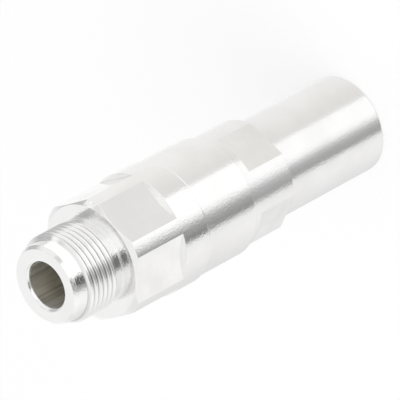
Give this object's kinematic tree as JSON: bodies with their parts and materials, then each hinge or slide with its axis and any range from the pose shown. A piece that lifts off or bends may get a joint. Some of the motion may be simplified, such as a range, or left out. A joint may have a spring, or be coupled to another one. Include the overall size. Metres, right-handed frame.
{
  "type": "coaxial connector",
  "caption": "Female threaded coaxial jack with a hex body, a plain sleeve and a screw-on clamp nut with a long tail for a corrugated cable.",
  "frame": {"origin": "on the axis at the end of the clamp nut's tail, where the part stands", "axes": "+Z along the axis from the cable's end to the jack; one flat of the hex body faces -Y"},
  "size_m": [0.0222, 0.0222, 0.0739],
  "materials": {
    "plated_brass": "bright white-bronze plating, finely turned",
    "gold_contact": "gold plating",
    "ptfe": "smooth white fluoropolymer",
    "rubber": "matt black",
    "spring_steel": "bare spring wire"
  },
  "bodies": {
    "jack": {"front_body": "plated_brass", "front_bead": "ptfe", "bead_bush": "plated_brass", "rear_bead": "ptfe", "centre_contact": "gold_contact", "cable_contact": "gold_contact", "clamp_cone": "plated_brass", "body_o_ring": "rubber", "middle_sleeve": "plated_brass"},
    "collet": {"clamp_collet": "plated_brass", "garter_spring": "spring_steel"},
    "nut": {"clamp_nut": "plated_brass", "nut_o_ring": "rubber", "snap_ring": "spring_steel", "thrust_washer": "plated_brass", "cable_gasket": "rubber", "seat_washer": "plated_brass"}
  },
  "joints": [
    {"name": "nut_travel", "type": "slide", "parent": "jack", "child": "collet", "axis": [0, 0, -1], "range_m": [0, 0.004]},
    {"name": "nut_turn", "type": "hinge", "parent": "collet", "child": "nut", "pos_m": [0, 0, 0.0342], "axis": [0, 0, -1], "range_deg": [0, 1440]}
  ],
  "couplings": [
    {"joint": "nut_turn", "follows": "nut_travel", "rad_per_m": 6283.2}
  ]
}
